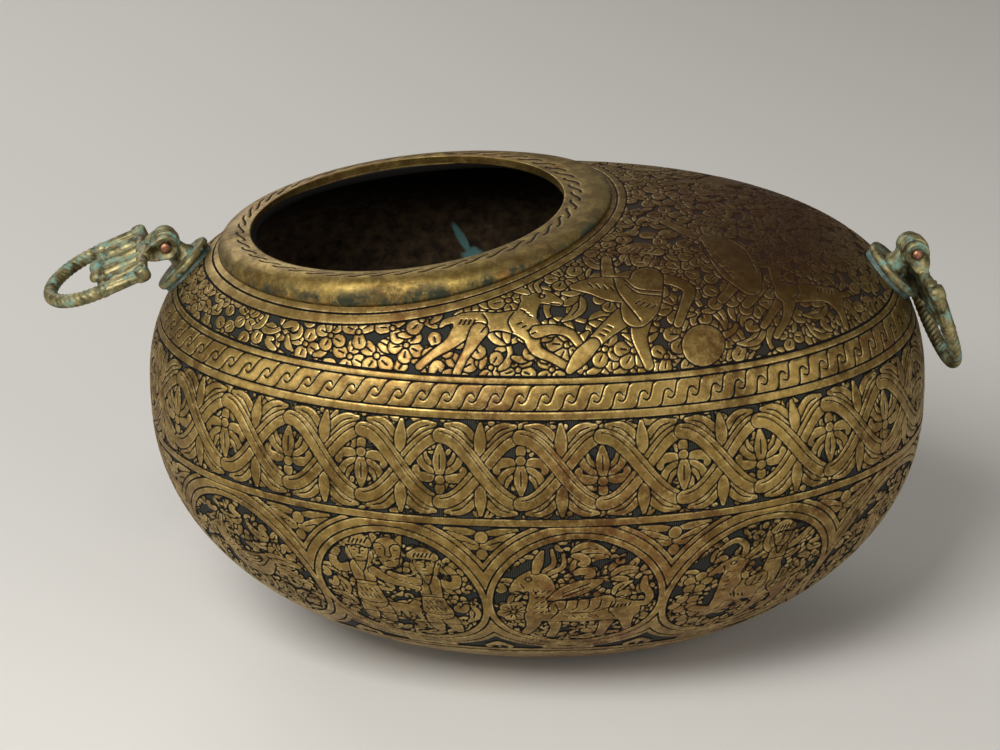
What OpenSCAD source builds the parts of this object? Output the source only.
// Kashkul begging bowl: ovoid brass vessel with a round mouth, a soldered collar and two hinged loops
// Millimetres, +Z up, the vessel's length along X, the origin at the centre of the flat underside

/* [Vessel] */
// outside length of the vessel, without the hinges
body_length = 220; // [180:1:300]
// outside width of the vessel
body_width = 152; // [120:1:200]
// rise of the shoulder above the widest level
shoulder_rise = 58.4; // [45:0.1:75]
// depth the lower curve would reach below the widest level if it were not flattened
lower_depth = 75; // [60:0.1:95]
// depth of the flattening underneath
flat_depth = 3.5; // [1.5:0.1:6]
// squareness of the upper profile, 2 is an ellipse
upper_fullness = 2.86; // [2:0.01:3.5]
// squareness of the lower profile, 2 is an ellipse
lower_fullness = 2.09; // [2:0.01:3]
// squareness of the plan outline, 2 is an ellipse
plan_fullness = 2.14; // [2:0.01:3]
// thickness of the wall
wall = 1.6; // [1:0.1:4]

/* [Mouth and collar] */
// distance of the mouth centre from the end of the vessel beside it
mouth_setback = 75; // [65:0.5:85]
// depth of the mouth centre under the top of the vessel
mouth_drop = 3.8; // [2:0.1:6]
// lean of the mouth plane towards the hinge beside it, degrees
mouth_lean = 5.2; // [0:0.1:9]
// inner radius of the rim
rim_radius = 44; // [36:0.5:48]
// step from the rim back to the edge of the hole in the vessel
hole_step = 1.5; // [0.5:0.1:3]
// shift of the collar's outer seam from the mouth centre, away from the hinge beside it
seam_shift = 2.4; // [0:0.1:4]
// drop of the collar's outer seam under the mouth centre
seam_drop = 6.5; // [5.5:0.1:7.5]
// width of the collar, from the rim's inner edge to the seam
collar_width = 8.6; // [6:0.1:12]
// height of the rim's inner wall
lip_height = 2.6; // [1.5:0.1:4]
// width of the flat on top of the rim
lip_width = 1.6; // [1:0.1:3]
// roundness of the collar's section, 0 is a straight slope and 1 a quarter ellipse
collar_round = 0.9; // [0.3:0.05:1]
// extra rise in the middle of the collar
collar_swell = 0.4; // [0:0.1:1.5]
// thickness of the collar's outer edge
collar_edge = 0.9; // [0.4:0.1:2]

/* [Hinge seats] */
// height of the left seat above the widest level
left_seat_rise = 37.4; // [30:0.1:42]
// height of the right seat above the widest level
right_seat_rise = 36.3; // [30:0.1:42]
// height of the left solder bed above its seat point
left_bed = 0.6; // [0.3:0.1:2]
// height of the right solder bed above its seat point
right_bed = 0.6; // [0.3:0.1:2]
// diameter of the solder beds
bed_diameter = 17.4; // [12:0.1:22]
// diameter of the seat discs
disc_diameter = 19; // [14:0.5:24]
// thickness of the seat discs
disc_thickness = 2.2; // [1.2:0.1:3]
// diameter of the lug's shank
shank_diameter = 6; // [4:0.1:8]
// diameter of the washer inside
rove_diameter = 14; // [11:0.5:18]
// thickness of the washer inside
rove_thickness = 1.8; // [1.2:0.1:3]

/* [Hinges] */
// distance of the pin's axis above the face of the disc
pin_rise = 6.6; // [5.6:0.1:9]
// shift of the pin's axis up the slope
pin_shift = 1.1; // [0:0.1:2.5]
// diameter of the copper pin
pin_diameter = 2.8; // [2:0.1:4]
// radial clearance between the pin and the lug's bore
pin_clearance = 0.05; // [0.02:0.01:0.1]
// radius of the lug's knuckle
knuckle_radius = 4.2; // [3.2:0.1:4.4]
// width of the lug's knuckle
knuckle_width = 4.6; // [3:0.1:6]
// clearance between the knuckle and each ear
ear_clearance = 0.2; // [0.1:0.05:0.5]
// clearance between the knuckle and the bridge of the loop
bridge_clearance = 0.6; // [0.3:0.1:1]
// thickness of each ear
ear_thickness = 2.4; // [1.5:0.1:4]
// radius of each ear
ear_radius = 3.5; // [2.8:0.1:4.2]
// turn of both hinges about the vertical, out of square with the vessel's length, degrees
hinge_turn = 12; // [-14:0.5:14]
// angle of the left loop below level as modelled, degrees
left_droop = 21; // [0:1:60]
// angle of the right loop below level as modelled, degrees
right_droop = 71; // [0:1:71]

/* [Loops] */
// distance from the bridge to the centre of the round end
ring_reach = 15.2; // [13:0.1:22]
// radius of the round end, to the middle of its bar
ring_radius = 15.5; // [13:0.1:17]
// thickness of the rope bar
bar_diameter = 4; // [2.5:0.1:5]
// distance from the bridge to the shoulders
shoulder_reach = 2.8; // [2:0.1:5]
// spread of each side bar towards the shoulders, degrees
limb_angle = 1; // [0:0.5:6]
// diameter of the scrolls on the shoulders
scroll_diameter = 5.4; // [4.6:0.1:6.4]
// height of the scrolls on the shoulders
scroll_height = 4.4; // [3:0.1:6]
// thickness of the palmette plate
leaf_thickness = 2.2; // [1.5:0.1:3]
// distance from the bridge to the tips of the leaves
leaf_reach = 18.4; // [14:0.1:20]
// distance between neighbouring leaves
leaf_spacing = 6.6; // [5:0.1:7]

/* [Hidden] */
round_steps = 80;
upper_steps = 15;
lower_steps = 11;
half_length = body_length / 2;
half_width = body_width / 2;
waist_height = lower_depth - flat_depth;
centre = [0, 0, waist_height];
base_thickness = wall;
mouth_x = mouth_setback - half_length;
mouth_z = waist_height + shoulder_rise - mouth_drop;
hole_radius = rim_radius + hole_step;
seam_radius = rim_radius + collar_width;
seam_x = mouth_x + seam_shift;
seam_z = mouth_z - seam_drop;
rove_depth = wall + rove_thickness;
fork_gap = knuckle_width + 2 * ear_clearance;
bridge = knuckle_radius + bridge_clearance;
shoulder_x = bridge + shoulder_reach;
ring_centre = bridge + ring_reach;
limb_length = (ring_centre + ring_radius * sin(limb_angle) - shoulder_x) / cos(limb_angle);
shoulder_half = ring_radius * cos(limb_angle) + limb_length * sin(limb_angle);
ring_trim = 1.5;
$fn = 64;

// angle of one step round the vessel
function turn(i) = 360 * i / round_steps;

// distance from the vessel's centre to its surface in a direction, for a surface set in by a depth
function reach(d, inset) =
    let (p = d.z >= 0 ? upper_fullness : lower_fullness)
    let (h = (d.z >= 0 ? shoulder_rise : lower_depth) - inset)
    let (plan = pow(abs(d.x) / (half_length - inset), plan_fullness)
        + pow(abs(d.y) / (half_width - inset), plan_fullness))
    pow(pow(plan, p / plan_fullness) + pow(abs(d.z) / h, p), -1 / p);

// point on the surface in the direction of a target point
function onto(target, inset) =
    let (d = target - centre)
    centre + d * reach(d, inset);

// point on a circle that lies in the mouth's plane
function mouth_point(x, z, r, a) =
    [x + r * cos(a) * cos(mouth_lean), r * sin(a), z + r * cos(a) * sin(mouth_lean)];

// signed power of a cosine or sine, for the squared plan outline
function spread(c) = sign(c) * pow(abs(c), 2 / plan_fullness);

// share of the full outline that the lower curve keeps at a depth below the widest level
function narrowing(depth, inset) =
    pow(1 - pow(depth / (lower_depth - inset), lower_fullness), 1 / lower_fullness);

// point of the lower half at a depth below the widest level
function lower_point(depth, inset, a) =
    let (f = narrowing(depth, inset))
    [(half_length - inset) * f * spread(cos(a)), (half_width - inset) * f * spread(sin(a)),
        waist_height - depth];

// direction between two directions, by equal angles
function between(u, v, t) =
    let (m = u / norm(u))
    let (n = v / norm(v))
    let (w = acos(max(-1, min(1, m * n))))
    (sin((1 - t) * w) * m + sin(t * w) * n) / sin(w);

// the rings of points of one surface of the vessel, from the mouth to the flat underside
function mouth_ring(inset) =
    [for (i = [0:round_steps - 1]) onto(mouth_point(mouth_x, mouth_z, hole_radius, turn(i)), inset)];
function seam_ring(inset) =
    [for (i = [0:round_steps - 1]) onto(mouth_point(seam_x, seam_z, seam_radius, turn(i)), inset)];
function upper_ring(k, inset) =
    [for (i = [0:round_steps - 1])
        let (from = mouth_point(seam_x, seam_z, seam_radius, turn(i)) - centre)
        let (to = lower_point(0, inset, turn(i)) - centre)
        onto(centre + between(from, to, k / upper_steps), inset)];
function lower_ring(k, inset) =
    let (floor = waist_height - (inset > 0 ? base_thickness : 0))
    [for (i = [0:round_steps - 1])
        lower_point(floor * sin(90 * k / lower_steps), inset, turn(i))];
function rings(inset) = concat(
    [mouth_ring(inset), seam_ring(inset)],
    [for (k = [1:upper_steps]) upper_ring(k, inset)],
    [for (k = [1:lower_steps]) lower_ring(k, inset)]);
function flat(list) = [for (r = list) for (p = r) p];

// triangles between two neighbouring rings that start at the given point numbers
function strip(a, b) =
    [for (i = [0:round_steps - 1])
        let (j = (i + 1) % round_steps)
        each [[a + i, a + j, b + j], [a + i, b + j, b + i]]];
function back(faces) = [for (f = faces) [f[0], f[2], f[1]]];
// triangles from one ring to a single point
function fan(a, p) =
    [for (i = [0:round_steps - 1]) [a + i, a + (i + 1) % round_steps, p]];

ring_count = 2 + upper_steps + lower_steps;
surface_points = ring_count * round_steps;
outside_rings = rings(0);
inside_rings = rings(wall);
surface_faces = [for (k = [0:ring_count - 2]) each strip(k * round_steps, (k + 1) * round_steps)];
last_ring = (ring_count - 1) * round_steps;

// a closed solid bounded by one surface of the vessel, used to fit other pieces against it
module vessel_solid(ring_list, floor) {
    points = concat(flat(ring_list), [[mouth_x, 0, mouth_z], [0, 0, floor]]);
    faces = concat(surface_faces, fan(last_ring, surface_points + 1), back(fan(0, surface_points)));
    polyhedron(points, faces, convexity = 4);
}

// place and outward angle of a seat on the vessel's profile, side is 1 on the right and -1 on the left
function seat_rise(side) = side > 0 ? right_seat_rise : left_seat_rise;
function seat_out(side) =
    pow(1 - pow(seat_rise(side) / shoulder_rise, upper_fullness), 1 / upper_fullness);
function seat_point(side) = [side * half_length * seat_out(side), 0, waist_height + seat_rise(side)];
function seat_angle(side) = atan2(
    pow(seat_rise(side) / shoulder_rise, upper_fullness - 1) / shoulder_rise,
    pow(seat_out(side), upper_fullness - 1) / half_length);

// heights of the bed, the disc's face and the pin above a seat
function bed_top(side) = side > 0 ? right_bed : left_bed;
function disc_top(side) = bed_top(side) + disc_thickness;
function pin_height(side) = disc_top(side) + pin_rise;

// frame of a hinge seat: local Z points outward, local Y is the pin's direction
module at_seat(side) {
    translate(seat_point(side))
        rotate([0, side * (90 - seat_angle(side)), 0])
            children();
}

// raised vessel with a hole for the mouth and one for each shank
module bowl_shell() {
    shift = surface_points;
    points = concat(flat(outside_rings), flat(inside_rings), [[0, 0, 0], [0, 0, base_thickness]]);
    faces = concat(
        surface_faces,
        fan(last_ring, 2 * shift),
        back([for (f = surface_faces) f + [shift, shift, shift]]),
        back(fan(last_ring + shift, 2 * shift + 1)),
        back(strip(0, shift)));
    color("#a8843c") difference() {
        polyhedron(points, faces, convexity = 6);
        for (side = [-1, 1])
            at_seat(side) translate([0, 0, -rove_depth - 4])
                cylinder(h = rove_depth + 10, d = shank_diameter);
    }
}

// share of the way across and up the collar's section, for a share of its turn
function collar_out(t) = collar_round * (1 - cos(90 * t)) + (1 - collar_round) * t;
function collar_up(t) = collar_round * sin(90 * t) + (1 - collar_round) * t;

// section of the collar at one step round the mouth, from the seam over the rim to the hole
function collar_section(i) =
    let (a = turn(i))
    let (seam = outside_rings[1][i])
    let (hole = outside_rings[0][i])
    let (rim = mouth_point(mouth_x, mouth_z, rim_radius, a))
    let (crest = mouth_point(mouth_x, mouth_z, rim_radius + lip_width, a))
    let (up = [-sin(mouth_lean), 0, cos(mouth_lean)])
    let (foot = seam + up * collar_edge)
    let (rise = (crest - foot) * up)
    let (across = crest - foot - up * rise)
    concat(
        [hole, seam],
        [for (t = [0:0.2:1])
            foot + across * collar_out(t) + up * (rise * collar_up(t) + collar_swell * 4 * t * (1 - t))],
        [rim, rim - up * lip_height]);

// convex ring soldered over the edge of the mouth
module mouth_collar() {
    sections = [for (i = [0:round_steps - 1]) collar_section(i)];
    count = len(sections[0]);
    points = [for (k = [0:count - 1]) for (i = [0:round_steps - 1]) sections[i][k]];
    faces = [for (k = [0:count - 1])
        each strip(k * round_steps, ((k + 1) % count) * round_steps)];
    color("#b08d45") polyhedron(points, back(faces), convexity = 6);
}

// bed of soft solder, its underside fitted to the vessel
module solder_bed(side) {
    difference() {
        at_seat(side) translate([0, 0, -2]) cylinder(h = bed_top(side) + 2, d = bed_diameter);
        vessel_solid(outside_rings, 0);
        at_seat(side) translate([0, 0, -4]) cylinder(h = 10, d = shank_diameter);
    }
}
module left_bed_solder() {
    color("#8d9a8e") solder_bed(-1);
}
module right_bed_solder() {
    color("#8d9a8e") solder_bed(1);
}

// round seat plate with a hole for the shank
module seat_disc(side) {
    at_seat(side) translate([0, 0, bed_top(side)]) difference() {
        rotate_extrude() polygon([[0, 0], [disc_diameter / 2 - 0.4, 0], [disc_diameter / 2, 0.4],
            [disc_diameter / 2, disc_thickness - 0.5], [disc_diameter / 2 - 0.5, disc_thickness],
            [0, disc_thickness]]);
        translate([0, 0, -1]) cylinder(h = disc_thickness + 2, d = shank_diameter);
    }
}
module left_disc() {
    color("#a98a48") seat_disc(-1);
}
module right_disc() {
    color("#a98a48") seat_disc(1);
}

// washer inside the vessel, dished to the wall
module wall_rove(side) {
    intersection() {
        at_seat(side) difference() {
            translate([0, 0, -rove_depth]) cylinder(h = rove_depth, d = rove_diameter);
            translate([0, 0, -rove_depth - 4]) cylinder(h = rove_depth + 10, d = shank_diameter);
        }
        vessel_solid(inside_rings, base_thickness);
    }
}
module left_rove() {
    color("#8f6a34") wall_rove(-1);
}
module right_rove() {
    color("#8f6a34") wall_rove(1);
}

// lug: knuckle and neck outside, shank through the wall, hammered end inside
module hinge_lug(side) {
    face = disc_top(side);
    difference() {
        union() {
            at_seat(side) {
                translate([0, 0, -rove_depth - 0.5])
                    cylinder(h = rove_depth + face + 1.2, d = shank_diameter);
                translate([0, 0, -rove_depth - 1.4])
                    cylinder(h = 1.4, d1 = shank_diameter + 0.8, d2 = shank_diameter + 3.4);
                translate([0, 0, face]) cylinder(h = 0.9, d1 = shank_diameter + 3.6, d2 = shank_diameter + 2);
            }
            difference() {
                at_knuckle(side) {
                    translate([1 - knuckle_radius, 0.2 - knuckle_width / 2, -pin_rise - 2])
                        cube([2 * knuckle_radius - 2, knuckle_width - 0.4, pin_rise + 2]);
                    rotate([90, 0, 0]) cylinder(h = knuckle_width, r = knuckle_radius, center = true);
                }
                at_seat(side) translate([0, 0, face - 14.7]) cylinder(h = 15, d = disc_diameter);
            }
        }
        at_knuckle(side) rotate([90, 0, 0])
            cylinder(h = 20, d = pin_diameter + 2 * pin_clearance, center = true);
    }
}
module left_lug() {
    color("#9c8448") hinge_lug(-1);
}
module right_lug() {
    color("#9c8448") hinge_lug(1);
}

// place of the pin's middle on a side
function pin_place(side) = seat_point(side) + [
    side * (pin_height(side) * cos(seat_angle(side)) - pin_shift * sin(seat_angle(side))),
    0,
    pin_height(side) * sin(seat_angle(side)) + pin_shift * cos(seat_angle(side))];

// frame of a lug's knuckle: local Y is the pin's axis, local Z stands up from the seat
module at_knuckle(side) {
    translate(pin_place(side))
        rotate([0, 0, hinge_turn])
            rotate([0, side * (90 - seat_angle(side)), 0])
                children();
}

// frame of a loop: local X runs from the pin out along the loop, local Y is the pin's axis
module at_pin(side, droop) {
    translate(pin_place(side))
        rotate([0, 0, hinge_turn])
            rotate([0, side > 0 ? droop : 180 - droop, 0])
                children();
}

// copper pin with domed ends
module hinge_pin(side, droop) {
    half = fork_gap / 2 + ear_thickness;
    r = pin_diameter / 2;
    at_pin(side, droop) rotate([90, 0, 0])
        rotate_extrude() polygon([[0, -half - 0.7], [r * 0.62, -half - 0.5], [r, -half], [r, half],
            [r * 0.62, half + 0.5], [0, half + 0.7]]);
}
module left_pin() {
    color("#b5653c") hinge_pin(-1, left_droop);
}
module right_pin() {
    color("#b5653c") hinge_pin(1, right_droop);
}

// slanted bar from the round end to a shoulder, with a bead over its joint to the round end
module loop_limb(hand) {
    translate([ring_centre + ring_radius * sin(limb_angle), hand * ring_radius * cos(limb_angle), 0])
        rotate([0, 0, 180 - hand * limb_angle]) rotate([0, 90, 0]) {
            translate([0, 0, 0.3]) cylinder(h = limb_length - 0.3, d = bar_diameter);
            translate([0, 0, -0.8]) cylinder(h = 1.6, d = bar_diameter + 0.5);
        }
}

// cast loop: two ears, bridge, palmette plate, rope-twisted ring
module hinge_loop(side, droop) {
    slot = fork_gap / 2;
    wide = slot + ear_thickness;
    root = bridge + 2;
    leaf = leaf_reach - 2;
    at_pin(side, droop) difference() {
        union() {
            for (hand = [-1, 1]) {
                translate([0, hand * (slot + ear_thickness / 2), 0]) rotate([90, 0, 0]) {
                    cylinder(h = ear_thickness, r = ear_radius, center = true);
                    linear_extrude(height = ear_thickness, center = true)
                        polygon([[0.5, 0.2 - ear_radius], [bridge + 2.4, -1.2], [bridge + 2.4, 1.2],
                            [0.5, ear_radius - 0.2]]);
                }
                loop_limb(hand);
                translate([shoulder_x, hand * shoulder_half, 0]) {
                    cylinder(h = scroll_height, d = scroll_diameter, center = true);
                    cylinder(h = scroll_height + 0.6, d = scroll_diameter / 2, center = true);
                }
            }
            translate([bridge, 0.15 - wide, -1.6]) cube([2.8, 2 * wide - 0.3, 3.2]);
            translate([0, 0, -leaf_thickness / 2]) linear_extrude(height = leaf_thickness)
                polygon([[root, 0.3 - shoulder_half], [root, shoulder_half - 0.3],
                    [root + 3, shoulder_half - 0.6], [root + leaf * 0.74, ring_radius - 0.6],
                    [root + leaf * 0.7, 2 * leaf_spacing - 0.6], [root + leaf * 0.85, 1.5 * leaf_spacing],
                    [root + leaf * 0.8, leaf_spacing],
                    [root + leaf, leaf_spacing / 2], [root + leaf * 0.86, 0],
                    [root + leaf, -leaf_spacing / 2], [root + leaf * 0.8, -leaf_spacing],
                    [root + leaf * 0.85, -1.5 * leaf_spacing], [root + leaf * 0.7, 0.6 - 2 * leaf_spacing],
                    [root + leaf * 0.74, 0.6 - ring_radius], [root + 3, 0.6 - shoulder_half]]);
            translate([ring_centre, 0, 0]) rotate([0, 0, limb_angle + ring_trim - 90])
                rotate_extrude(angle = 180 - 2 * limb_angle - 2 * ring_trim)
                    translate([ring_radius, 0]) circle(d = bar_diameter);
        }
        rotate([90, 0, 0]) cylinder(h = 20, d = pin_diameter, center = true);
    }
}
module left_loop() {
    color("#94844f") hinge_loop(-1, left_droop);
}
module right_loop() {
    color("#94844f") hinge_loop(1, right_droop);
}

bowl_shell();
mouth_collar();
left_bed_solder();
right_bed_solder();
left_disc();
right_disc();
left_lug();
right_lug();
left_rove();
right_rove();
left_pin();
right_pin();
left_loop();
right_loop();
